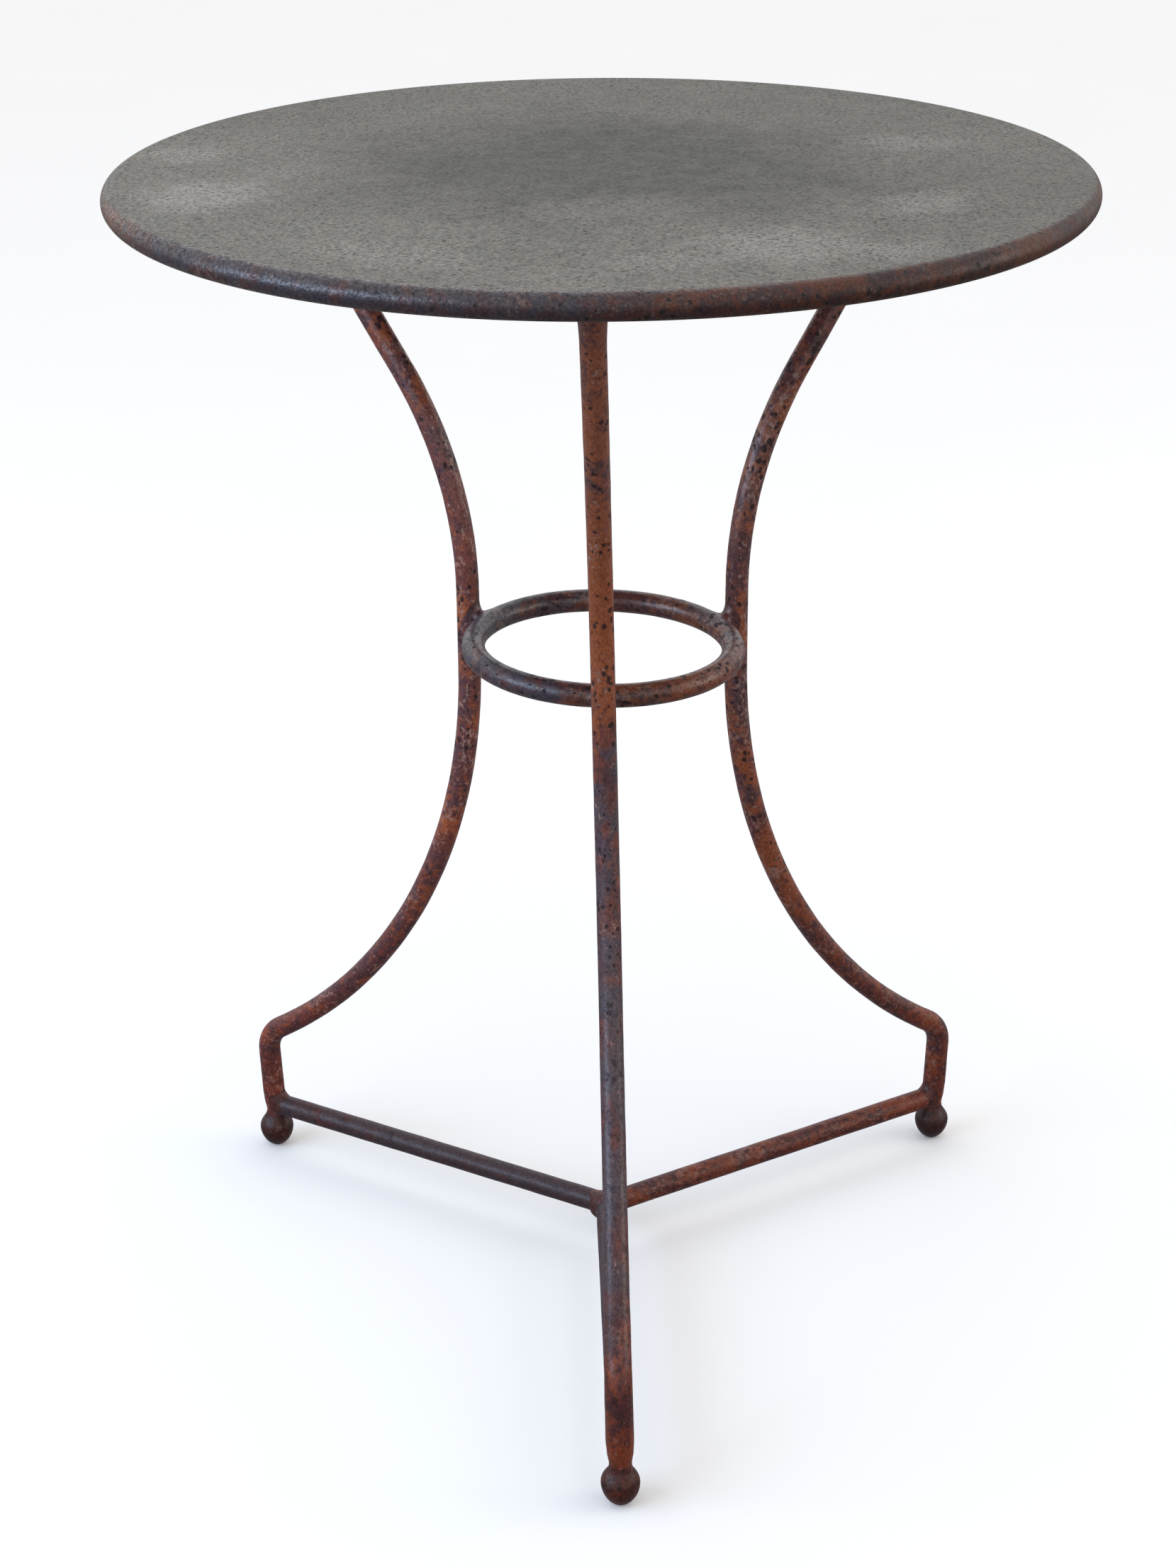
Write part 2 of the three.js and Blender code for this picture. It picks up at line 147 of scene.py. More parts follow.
roll_height = TABLE_HEIGHT - ROLL_RADIUS
brace_end = ROLL_REACH - ROLL_RADIUS - GAP
brace_underside = TABLE_HEIGHT - SHEET_THICKNESS - GAP - BRACE_THICKNESS
brace_middle = brace_underside + BRACE_THICKNESS / 2
leg_top = brace_underside - GAP
waist_middle = (WAIST_TOP + WAIST_BOTTOM) / 2
Z_AXIS = np.array([0.0, 0.0, 1.0])


# ---------------------------------------------------------------- mesh helpers

def unit(vectors):
    return vectors / np.linalg.norm(vectors, axis=-1, keepdims=True)


def turned(radius, bearing, height=0.0):
    """The point at a bearing in radians from the table's axis."""
    return np.array([radius * math.cos(bearing), radius * math.sin(bearing), height])


def noise_at(places, size, seed=0.0):
    """Smooth noise from -1 to 1, with lumps about as big as size."""
    shift = Vector((seed, -seed, 0.5 * seed))
    flat = places.reshape(-1, 3) / size
    values = [noise.noise(Vector(place) + shift) for place in flat]
    return np.array(values).reshape(places.shape[:-1])


def worn_away(places):
    """How far a bar's surface lies inside its true round: lumps, and finer rust between them."""
    lumps = noise_at(places, 14 * MM)
    rust = noise_at(places, 3.5 * MM, seed=5)
    return BAR_UNEVENNESS * np.clip(0.5 + 0.55 * lumps + 0.25 * rust, 0, 1.3)


def spokes_round(sides):
    """Level directions all the way round."""
    turns = np.linspace(0, 2 * math.pi, sides, endpoint=False)
    return np.stack([np.cos(turns), np.sin(turns), 0 * turns], axis=1)


def spun(profile, spokes):
    """Rows of points: a profile of (radius, height) spun round the table's axis."""
    return profile[:, None, :1] * spokes + profile[:, None, 1:] * Z_AXIS


def add_object(name, data):
    thing = bpy.data.objects.new(name, data)
    bpy.context.scene.collection.objects.link(thing)
    return thing


def add_piece(name, points, faces, material, slot, grain=None):
    """Makes a smooth piece that rides on the table and stands for the CAD node of its name."""
    mesh = bpy.data.meshes.new(name)
    mesh.from_pydata([tuple(point) for point in points], [], faces)
    bm = bmesh.new()
    bm.from_mesh(mesh)
    bmesh.ops.recalc_face_normals(bm, faces=bm.faces)
    bm.to_mesh(mesh)
    bm.free()
    mesh.shade_smooth()
    attribute = mesh.attributes.new("grain", "FLOAT_VECTOR", "POINT")
    places = np.array(points if grain is None else grain, np.float32)
    attribute.data.foreach_set("vector", places.ravel())
    mesh.materials.append(material)
    piece = add_object("piece_" + name, mesh)
    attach(piece, "root")
    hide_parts(name)


def grid_faces(rows, columns, wrap_rows):
    """Quads between rows of points, where each row closes on itself."""
    faces = []
    for row in range(rows if wrap_rows else rows - 1):
        here = row * columns
        above = (row + 1) % rows * columns
        for column in range(columns):
            beside = (column + 1) % columns
            faces.append((here + column, here + beside, above + beside, above + column))
    return faces


def add_rows(name, rows, material, slot, grain=None, closed=False):
    """Makes a piece from rows of points, each a ring, with its two ends closed.

    When closed is true the last row joins the first instead.
    """
    if grain is None:
        grain = rows
    count, columns = rows.shape[:2]
    points, places = rows.reshape(-1, 3), grain.reshape(-1, 3)
    faces = grid_faces(count, columns, wrap_rows=closed)
    if not closed:
        points = np.vstack([points, rows[0].mean(axis=0), rows[-1].mean(axis=0)])
        places = np.vstack([places, grain[0].mean(axis=0), grain[-1].mean(axis=0)])
        start, end = count * columns, count * columns + 1
        last = (count - 1) * columns
        for column in range(columns):
            beside = (column + 1) % columns
            faces.append((start, beside, column))
            faces.append((end, last + column, last + beside))
    add_piece(name, points, faces, material, slot, places)


# ---------------------------------------------------------------- centre lines

def arc(centre, radius, start, end):
    steps = max(2, math.ceil(radius * abs(end - start) / STATION))
    angles = np.linspace(start, end, steps + 1)
    return np.array(centre) + radius * np.stack([np.cos(angles), np.sin(angles)], axis=1)


def evenly(points):
    """The same line with its points a station apart and none of them repeated."""
    steps = np.linalg.norm(np.diff(points, axis=0), axis=1)
    points = points[np.concatenate([[True], steps > REPEATED])]
    lengths = np.concatenate([[0], np.cumsum(np.linalg.norm(np.diff(points, axis=0), axis=1))])
    wanted = np.linspace(0, lengths[-1], math.ceil(lengths[-1] / STATION) + 1)
    return np.stack([np.interp(wanted, lengths, column) for column in points.T], axis=1)


bend_centre_radius = WAIST_RADIUS + LOWER_BEND
lower_reach = LOWER_BEND + KNEE_BEND
lower_sweep = math.acos(
    (bend_centre_radius + KNEE_BEND * math.cos(SHANK_LEAN) - KNEE_REACH) / lower_reach
)
knee_height = (
    WAIST_BOTTOM - lower_reach * math.sin(lower_sweep) - KNEE_BEND * math.sin(SHANK_LEAN)
)


def shank_reach(height):
    """How far out the shank's centre line is at a height below the knee."""
    return KNEE_REACH - (knee_height - height) * math.tan(SHANK_LEAN)


def leg_line():
    """A leg's centre line from its top down to the neck, as (radius, height)."""
    knee_turn = math.pi + lower_sweep
    knee_centre = (
        bend_centre_radius + lower_reach * math.cos(knee_turn),
        WAIST_BOTTOM + lower_reach * math.sin(knee_turn),
    )
    upper_centre = (WAIST_RADIUS + UPPER_BEND, WAIST_TOP)
    upper = arc(upper_centre, UPPER_BEND, math.pi - UPPER_LEAN, math.pi)
    rise = leg_top - upper[0, 1]
    return evenly(np.vstack([
        upper[0] + np.array([rise * math.tan(UPPER_LEAN), rise]),
        upper,
        arc((bend_centre_radius, WAIST_BOTTOM), LOWER_BEND, math.pi, knee_turn),
        arc(knee_centre, KNEE_BEND, lower_sweep, -SHANK_LEAN),
        (shank_reach(BALL_TOP - NECK_SINK), BALL_TOP - NECK_SINK),
    ]))


def leg_place(leg):
    """Turns a leg drawn in the plane of +X to its bearing, and leans it about its waist."""
    bearing, lean = (math.radians(angle) for angle in LEGS[leg])
    waist = Matrix.Translation((0, 0, waist_middle))
    leaned = waist @ Matrix.Rotation(lean, 4, "X") @ waist.inverted()
    return np.array(Matrix.Rotation(bearing, 4, "Z") @ leaned)


def on_leg(leg, flat):
    """Points of a leg's own plane, given as (radius, height), in the table's frame."""
    flat = np.atleast_2d(flat)
    place = leg_place(leg)
    level = np.stack([flat[:, 0], np.zeros(len(flat)), flat[:, 1]], axis=1)
    return level @ place[:3, :3].T + place[:3, 3]


def leg_radii(leg, heights):
    """A leg's radius at each height, easing from one given height to the next."""
    spot = np.interp(heights, SHANK_HEIGHTS, np.arange(len(SHANK_HEIGHTS)))
    part = spot - np.floor(spot)
    eased = np.floor(spot) + part * part * (3 - 2 * part)
    radii = np.interp(eased, np.arange(len(SHANK_RADII)), SHANK_RADII)
    return radii * np.interp(heights, SWELL_FADE, (SHANK_SWELL[leg], 1))


def ball_middle(leg):
    middle = on_leg(leg, (shank_reach(BALL_TOP), BALL_TOP))[0]
    return np.array([middle[0], middle[1], 0.0])


def stretcher_end(leg):
    reach = shank_reach(STRETCHER_HEIGHT) - STRETCHER_SHORT
    end = on_leg(leg, (reach, STRETCHER_HEIGHT))[0]
    return np.array([end[0], end[1], STRETCHER_HEIGHT])


def way_to(leg):
    """The level direction from the table's axis to a leg's foot."""
    return unit(stretcher_end(leg) * (1, 1, 0))


def stretcher_bend():
    """The turn from the left leg to the front leg: its centre, and half the angle between them."""
    left, front = way_to("left"), way_to("front")
    half = math.acos(np.dot(left, front)) / 2
    return unit(left + front) * STRETCHER_BEND / math.sin(half), half


def stretcher_hub():
    """The middle of that turn, where the right stretcher ends."""
    centre = stretcher_bend()[0]
    return centre - unit(centre) * STRETCHER_BEND + Z_AXIS * STRETCHER_HEIGHT


def bent_stretcher_line():
    centre, half = stretcher_bend()
    tangent = STRETCHER_BEND / math.tan(half)
    starts = [way_to(leg) * tangent - centre for leg in ("left", "front")]
    first, last = (math.atan2(start[1], start[0]) for start in starts)
    sweep = (last - first + math.pi) % (2 * math.pi) - math.pi
    turn = arc(centre[:2], STRETCHER_BEND, first, first + sweep)
    flat = evenly(np.vstack([stretcher_end("left")[:2], turn, stretcher_end("front")[:2]]))
    return np.column_stack([flat, np.full(len(flat), STRETCHER_HEIGHT)])


def right_stretcher_line():
    return evenly(np.vstack([stretcher_end("right"), stretcher_hub()]))


def ring_line():
    """The ring's centre line, and the direction square to its plane."""
    flat = RING_RADIUS * spokes_round(math.ceil(2 * math.pi * RING_RADIUS / STATION))
    tilt = np.array(Matrix.Rotation(RING_TILT, 3, "Y"))
    return flat @ tilt.T + Z_AXIS * RING_HEIGHT, tilt @ Z_AXIS


# ---------------------------------------------------------------- bars

def bar_surface(line, across, radii, seed, closed=False):
    """Sections of a round bar along a flat line, and where each point lies in its grain.

    across is the normal of the line's plane. The grain of an open bar is the bar
    straightened out and pressed together lengthwise, and a closed one's is a smaller ring,
    so that markings drawn in it come out long.
    """
    if closed:
        tangents = unit(np.roll(line, -1, axis=0) - np.roll(line, 1, axis=0))
    else:
        tangents = unit(np.gradient(line, axis=0))
    side = np.cross(tangents, across)
    turns = np.linspace(0, 2 * math.pi, BAR_SIDES, endpoint=False)
    spokes = np.cos(turns)[:, None] * side[:, None] + np.sin(turns)[:, None] * across
    if closed:
        middle = line.mean(axis=0)
        grain = middle + (line - middle) * GRAIN_STRETCH
        grain = grain[:, None] + spokes * BAR_RADIUS
    else:
        steps = np.linalg.norm(np.diff(line, axis=0), axis=1)
        lengths = np.concatenate([[0], np.cumsum(steps)]) * GRAIN_STRETCH
        grain = np.empty(spokes.shape)
        grain[..., :2] = np.stack([np.cos(turns), np.sin(turns)], axis=1) * BAR_RADIUS
        grain[..., 2] = lengths[:, None]
    grain = grain + seed
    depth = worn_away(grain)
    surface = line[:, None] + spokes * (np.reshape(radii, (-1, 1)) - depth)[..., None]
    return surface, grain


def add_bar(name, line, across, radii, material, seed, closed=False):
    surface, grain = bar_surface(line, across, radii, seed, closed)
    add_rows(name, surface, material, "rusted_bar", grain, closed)


def add_leg(leg, material, seed):
    flat = leg_line()
    line = on_leg(leg, flat)
    across = leg_place(leg)[:3, 1]
    surface, grain = bar_surface(line, across, leg_radii(leg, flat[:, 1]), seed)
    # The top end is cut level, to lie under the flat bar.
    slope = unit(line[0] - line[1])
    surface[0] += slope * ((leg_top - surface[0, :, 2]) / slope[2])[:, None]
    add_rows("leg_" + leg, surface, material, "rusted_bar", grain)


# ---------------------------------------------------------------- welds

def bar_distance(line, radii):
    """A function giving how far points are outside a round bar."""
    radii = np.broadcast_to(radii, len(line))

    def distance(points):
        nearest = np.full(points.shape[:-1], np.inf)
        for i in range(len(line) - 1):
            span = line[i + 1] - line[i]
            along = np.clip((points - line[i]) @ span / (span @ span), 0, 1)
            gap = np.linalg.norm(points - line[i] - along[..., None] * span, axis=-1)
            here = gap - radii[i] - along * (radii[i + 1] - radii[i])
            nearest = np.minimum(nearest, here)
        return nearest

    return distance


def close_to(line, centre):
    """Which points of a line are close enough to a weld's middle to shape it."""
    return np.linalg.norm(line - centre, axis=1) < WELD_VIEW


def net_points(field, low, cell):
    """One point in each cell of a grid where the field changes sign, and each cell's point.

    The point is the mean of the places where the field is zero along the cell's edges.
    """
    cells = tuple(size - 1 for size in field.shape)
    corner = {}
    for step in product((0, 1), repeat=3):
        corner[step] = field[tuple(slice(s, s + n) for s, n in zip(step, cells))]
    inside = sum((values < 0).astype(int) for values in corner.values())
    crossed = (inside > 0) & (inside < len(corner))
    total = np.zeros(cells + (3,))
    hits = np.zeros(cells)
    for axis in range(3):
        for step in product((0, 1), repeat=2):
            start = step[:axis] + (0,) + step[axis:]
            a = corner[start]
            b = corner[step[:axis] + (1,) + step[axis:]]
            hit = (a < 0) != (b < 0)
            share = np.where(hit, a / np.where(hit, a - b, 1), 0)
            spot = np.broadcast_to(np.array(start, float), cells + (3,)).copy()
            spot[..., axis] = share
            total += spot * hit[..., None]
            hits += hit
    index = np.full(cells, -1)
    index[crossed] = np.arange(crossed.sum())
    where = np.argwhere(crossed)
    return low + cell * (where + total[crossed] / hits[crossed][:, None]), index


def net_faces(field, index):
    """A quad round each edge of the grid that the surface crosses, joining four cells' points."""
    cells = index.shape
    faces = []
    for axis in range(3):
        u, v = (axis + 1) % 3, (axis + 2) % 3
        edge = (field < 0) != (np.roll(field, -1, axis=axis) < 0)
        for place in np.argwhere(edge):
            if place[axis] >= cells[axis] or place[u] < 1 or place[v] < 1:
                continue
            if place[u] >= cells[u] or place[v] >= cells[v]:
                continue
            quad = []
            for back_u, back_v in ((0, 0), (1, 0), (1, 1), (0, 1)):
                spot = place.copy()
                spot[u] -= back_u
                spot[v] -= back_v
                quad.append(int(index[tuple(spot)]))
            if field[tuple(place)] > 0:
                quad.reverse()
            faces.append(tuple(quad))
    return faces


def soft_union(a, b, softness):
    """The distance outside two shapes together, with a fillet of that width between them."""
    blend = np.clip(softness - np.abs(a - b), 0, None) / softness
    return np.minimum(a, b) - blend * blend * softness / 4


def add_weld(name, kind, first, second, centre, material, limit=None):
    """A fillet of weld metal in the corner where two shapes meet.

    All three shapes are functions giving how far points are outside them. The weld joins
    the first two and stays inside the third.
    """
    reach, softness = WELDS[kind]
    reach = np.broadcast_to(reach, 3)
    axes = [np.arange(-r, r + WELD_CELL, WELD_CELL) for r in reach]
    offsets = np.stack(np.meshgrid(*axes, indexing="ij"), axis=-1)
    points = offsets + centre
    a, b = first(points), second(points)
    field = soft_union(a, b, softness) + WELD_SINK
    skin = np.abs(field) < 1 * MM  # roughness makes no difference further from the surface
    field[skin] += WELD_ROUGHNESS * noise_at(points[skin], 5 * MM, seed=3)
    within = (np.linalg.norm(offsets / reach, axis=-1) - WELD_EDGE) * reach.min()
    field = np.maximum(field, within)
    if limit:
        field = np.maximum(field, limit(points))
    skin_points, index = net_points(field, centre - reach, WELD_CELL)
    add_piece(name, skin_points, net_faces(field, index), material, "weld_metal")


# ---------------------------------------------------------------- materials

class Finish:
    """A node material under construction. Most methods add a node and return its output."""

    def __init__(self, name):
        self.material = bpy.data.materials.new(name)
        self.material.use_nodes = True
        self.tree = self.material.node_tree
        self.tree.nodes.clear()

    def node(self, kind, inputs=(), **settings):
        node = self.tree.nodes.new("ShaderNode" + kind)
        for key, value in settings.items():
            setattr(node, key, value)
        for key, value in dict(inputs).items():
            if isinstance(value, bpy.types.NodeSocket):
                self.tree.links.new(value, node.inputs[key])
            else:
                node.inputs[key].default_value = value
        return node

    def grain(self):
        return self.node("Attribute", attribute_name="grain").outputs["Vector"]

    def place(self):
        return self.node("TexCoord").outputs["Object"]

    def moved(self, place, seed):
        """The same places shifted, so that a second noise there isn't the first one again."""
        return self.node("Mapping", {"Vector": place, "Location": (seed, seed, seed)}).outputs[0]

    def flattened(self, place):
        return self.node("Mapping", {"Vector": place, "Scale": (1, 1, 0)}).outputs["Vector"]

    def cloud(self, place, size, detail=4.0, roughness=0.6, distortion=0.0):
        """Noise from 0 to 1 about a half, with lumps about as big as size."""
        inputs = {
            "Vector": place,
            "Scale": 1 / size,
            "Detail": detail,
            "Roughness": roughness,
            "Distortion": distortion,
        }
        return self.node("TexNoise", inputs).outputs["Fac"]

    def cells(self, place, size):
        """How far off the nearest of many scattered points is, where they lie size apart."""
        inputs = {"Vector": place, "Scale": 1 / size}
        return self.node("TexVoronoi", inputs).outputs["Distance"]

    def rise(self, value, low, high, bottom=0.0, top=1.0):
        """A soft step from bottom, where the value is low, to top, where it is high."""
        inputs = {
            "Value": value,
            "From Min": low,
            "From Max": high,
            "To Min": bottom,
            "To Max": top,
        }
        return self.node("MapRange", inputs, interpolation_type="SMOOTHSTEP").outputs["Result"]

    def math(self, operation, a, b=0.0, c=0.0):
        return self.node("Math", {0: a, 1: b, 2: c}, operation=operation).outputs[0]

    def product(self, a, b):
        return self.math("MULTIPLY", a, b)

    def blend(self, share, a, b):
        return self.node("Mix", {0: share, 2: a, 3: b}).outputs[0]

    def length(self, vector):
        node = self.node("VectorMath", {0: vector}, operation="LENGTH")
        return node.outputs["Value"]

    def mix(self, share, a, b, mode="MIX"):
        colours = [(*c, 1.0) if isinstance(c, tuple) else c for c in (a, b)]
        inputs = {0: share, 6: colours[0], 7: colours[1]}
        node = self.node("Mix", inputs, data_type="RGBA", blend_type=mode)
        return node.outputs[2]

    def shade(self, colour, amount):
        """The colour made darker or lighter by a value about 1."""
        grey = self.node("CombineColor", {0: amount, 1: amount, 2: amount}).outputs[0]
        return self.mix(1.0, colour, grey, "MULTIPLY")

    def bump(self, height, depth):
        inputs = {"Height": height, "Strength": 1.0, "Distance": depth}
        return self.node("Bump", inputs).outputs["Normal"]

    def surface(self, colour, roughness, normal, shine, wax=0.0, wax_roughness=0.2, bloom=0.0):
        """Ends the material with its shader. shine is the surface's own, under any wax."""
        inputs = {
            "Base Color": colour,
            "Roughness": roughness,
            "Normal": normal,
            "Coat Normal": normal,
            "Specular IOR Level": shine,
            "Coat Weight": wax,
            "Coat Roughness": wax_roughness,
            "Sheen Weight": bloom,
            "Sheen Roughness": 0.35,
            "Sheen Tint": BLOOM,
        }
        shader = self.node("BsdfPrincipled", inputs)
        output = self.node("OutputMaterial")
        self.tree.links.new(shader.outputs[0], output.inputs["Surface"])
        return self.material


# Colours of old steel under wax.
RUST_RED = (0.150, 0.041, 0.030)
RUST_PURPLE = (0.084, 0.035, 0.040)
RUST_ORANGE = (0.300, 0.077, 0.022)
RUST_PALE = (0.340, 0.205, 0.170)
STEEL_BLUE = (0.070, 0.064, 0.086)
SPOT_BROWN = (0.022, 0.010, 0.011)
BLOOM = (0.80, 0.76, 1.0, 1.0)  # the dusty lavender cast at the edge of a waxed bar
FLOOR_SHADE = (0.68, 0.50, 0.46)  # painted shade: what is left of a bar's colour down at the floor, darker and redder

# Colours of the sheet.
SHEET_GREY = (0.112, 0.107, 0.091)
SHEET_WARM = (0.136, 0.116, 0.094)
SHEET_COOL = (0.088, 0.090, 0.087)
SHEET_STAIN = (0.053, 0.052, 0.047)
SHEET_WIPED = (0.196, 0.184, 0.165)
SHEET_MARK = (0.022, 0.020, 0.019)

BUMP_DEPTH = 0.3 * MM

# How each piece of steel has rusted: how much orange, blue, dark spots and pale flecks it
# shows, and how light it is. seed shifts its markings. The last entry, where given, marks a
# stretch where blue is painted over the orange as a painted reflection of cool window light:
# the axis, 0 for x or 2 for z, and its two ends along that axis.
STEELS = {
    "bar_front": {
        "seed": 0.1,
        "orange": 0.95,
        "blue": 0.1,
        "spots": 0.5,
        "pale": 0.25,
        "lightness": 0.85,
        "painted_sheen_part": (2, 0.09, 0.36),
    },
    "bar_left": {
        "seed": 0.4,
        "orange": 0.4,
        "blue": 0.4,
        "spots": 0.6,
        "pale": 0.8,
        "lightness": 1.13,
    },
    "bar_right": {
        "seed": 0.7,
        "orange": 0.7,
        "blue": 0.35,
        "spots": 0.9,
        "pale": 0.95,
        "lightness": 0.79,
    },
    "bar_ring": {
        "seed": 1.1,
        "orange": 0.75,
        "blue": 0.3,
        "spots": 0.6,
        "pale": 0.7,
        "lightness": 0.54,
        "painted_sheen_part": (0, -0.2, -0.06),
    },
    "bar_bent": {
        "seed": 1.5,
        "orange": 0.1,
        "blue": 1.6,
        "spots": 0.0,
        "pale": 0.1,
        "lightness": 0.66,
    },
    "bar_hub": {
        "seed": 1.9,
        "orange": 0.7,
        "blue": 0.2,
        "spots": 0.9,
        "pale": 0.8,
        "lightness": 0.74,
    },
    "dark_iron": {
        "seed": 2.3,
        "orange": 0.4,
        "blue": 0.3,
        "spots": 0.3,
        "pale": 0.3,
        "lightness": 0.36,
    },
    "weld_metal": {
        "seed": 2.9,
        "orange": 0.3,
        "blue": 0.5,
        "spots": 0.4,
        "pale": 0.5,
        "lightness": 0.64,
    },
}


def rust(finish, grain, orange, blue, spots, pale, painted_sheen=0.0, spotted=1.0):
    """The colour, roughness and height of rusted steel.

    orange, blue, spots and pale say how much there is of each. The argument after pale is 1
    where blue is painted over the orange as a painted reflection of cool window light, and
    spotted is 0 where there are no dark spots.
    """
    fine = finish.cloud(grain, 1.5 * MM, detail=2, roughness=0.7)
    mottle = finish.cloud(grain, 4.5 * MM, roughness=0.62, distortion=0.2)

    # Patches of red and purple brown.
    broad = finish.cloud(finish.moved(grain, 1), 24 * MM, detail=3, roughness=0.5)
    tone = finish.math("MULTIPLY_ADD", broad, 0.8, finish.math("SUBTRACT", mottle, 0.4))
    colour = finish.mix(finish.rise(tone, 0.36, 0.62), RUST_PURPLE, RUST_RED)

    # Orange stretches.
    warm = finish.cloud(finish.moved(grain, 3), 30 * MM, distortion=0.5)
    warm = finish.math("MULTIPLY_ADD", mottle, 0.45, finish.math("SUBTRACT", warm, 0.225))
    # Painted reflection: less orange where the blue sheen is painted.
    warm = finish.math("MULTIPLY_ADD", painted_sheen, -0.2, warm)
    warm = finish.rise(warm, 0.6 - 0.25 * orange, 0.8 - 0.25 * orange, top=0.85)
    colour = finish.mix(warm, colour, RUST_ORANGE)

    # Blue stretches.
    cool = finish.cloud(finish.moved(grain, 7), 26 * MM, roughness=0.65, distortion=0.6)
    # Painted reflection: more blue where the sheen is painted.
    cool = finish.math("MULTIPLY_ADD", painted_sheen, 0.26, cool)
    cool = finish.rise(cool, 0.64 - 0.22 * blue, 0.84 - 0.22 * blue, top=0.85)
    colour = finish.mix(cool, colour, STEEL_BLUE)

    # Pale flecks in clusters.
    flecks = finish.cloud(finish.moved(grain, 9), 2.8 * MM, detail=2)
    where_pale = finish.cloud(finish.moved(grain, 11), 18 * MM, detail=2)
    flecks = finish.math("MULTIPLY_ADD", where_pale, 0.6, finish.math("SUBTRACT", flecks, 0.3))
    flecks = finish.rise(flecks, 0.66 - 0.14 * pale, 0.82 - 0.14 * pale)
    colour = finish.mix(finish.product(flecks, 0.7), colour, RUST_PALE)

    # Dark spots in clusters. They are pits, and rougher.
    where_dark = finish.cloud(finish.moved(grain, 15), 20 * MM, detail=3)
    dots = finish.math("MULTIPLY_ADD", mottle, 0.8, finish.cells(grain, 5 * MM))
    dots = finish.math("MULTIPLY_ADD", where_dark, 1.2, dots)
    dots = finish.rise(dots, 1.14 + 0.14 * spots, 1.05 + 0.14 * spots)
    dots = finish.product(dots, spotted)
    colour = finish.mix(finish.product(dots, 0.9), colour, SPOT_BROWN)
    colour = finish.shade(colour, finish.rise(fine, 0.25, 0.75, 0.62, 1.38))

    height = finish.math("MULTIPLY_ADD", fine, 0.3, finish.product(mottle, 0.6))
    height = finish.math("MULTIPLY_ADD", dots, -0.2, height)
    roughness = finish.math("MULTIPLY_ADD", dots, 0.15, finish.rise(mottle, 0.35, 0.65, 0.46, 0.6))
    return colour, roughness, height


def rusted_steel(name, seed, orange, blue, spots, pale, lightness, painted_sheen_part=None):
    """Rusted and waxed steel. STEELS gives each one's values, and says what they are."""
    finish = Finish(name)
    grain = finish.moved(finish.grain(), seed)
    here = finish.node("SeparateXYZ", {0: finish.place()}).outputs
    painted_sheen = 0.0
    # Painted reflection: the stretch where blue is painted over the orange.
    if painted_sheen_part:
        axis, low, high = painted_sheen_part
        beyond_low = finish.rise(here[axis], low, low + 0.05)
        painted_sheen = finish.product(beyond_low, finish.rise(here[axis], high + 0.1, high))
    # Near the floor there are fewer dark spots, and painted shade darkens and reddens the colour.
    spotted = finish.rise(here[2], 0.18, 0.36, bottom=0.3)
    colour, roughness, height = rust(finish, grain, orange, blue, spots, pale, painted_sheen, spotted)
    floor_shaded = finish.mix(1.0, colour, FLOOR_SHADE, "MULTIPLY")
    colour = finish.mix(finish.rise(here[2], 0, 0.5), floor_shaded, colour)
    colour = finish.shade(colour, lightness)
    normal = finish.bump(height, BUMP_DEPTH)
    # The wax lies on the high spots, and has gone dull near the floor.
    wax = finish.rise(height, 0.34, 0.5, 0.1, 0.75)
    wax = finish.product(wax, finish.rise(here[2], 0, 0.42, bottom=0.35))
    return finish.surface(
        colour, roughness, normal, shine=0.22, wax=wax, wax_roughness=0.24, bloom=0.1
    )


# The middle of the sheet has stayed dark, and round it lie spots rubbed pale by hand: the
# middle of each, its half length and half width, its turn in degrees and its strength.
STAIN = ((0.000, 0.012), (0.150, 0.145), 0, 0.85)
RUBBED = [
    ((-0.251, 0.050), (0.026, 0.024), 0, 0.5),
    ((-0.228, -0.062), (0.042, 0.034), 70, 0.75),
    ((-0.186, 0.002), (0.024, 0.020), 0, 0.3),
    ((0.186, 0.068), (0.036, 0.026), -20, 0.5),
    ((0.179, -0.095), (0.034, 0.026), 50, 0.55),
    ((0.097, -0.190), (0.046, 0.040), 0, 0.7),
    ((0.154, -0.205), (0.030, 0.022), 30, 0.5),
    ((0.005, -0.100), (0.050, 0.034), 10, 0.25),
    ((0.030, -0.222), (0.030, 0.018), 0, 0.3),
    ((-0.110, -0.205), (0.050, 0.026), -25, 0.3),
]


def inside_spot(finish, place, spot, ragged):
    """How much a soft oval spot with a ragged edge covers a point of the sheet."""
    middle, half, turn, strength = spot
    inputs = {
        "Vector": place,
        "Location": (*middle, TABLE_HEIGHT),
        "Rotation": (0, 0, math.radians(turn)),
        "Scale": (*half, 1.0),
    }
    inside = finish.node("Mapping", inputs, vector_type="TEXTURE").outputs["Vector"]
    edge = finish.math("MULTIPLY_ADD", ragged, 1.2, finish.length(inside))
    return finish.rise(edge, 2.0, 1.0, 0, strength)


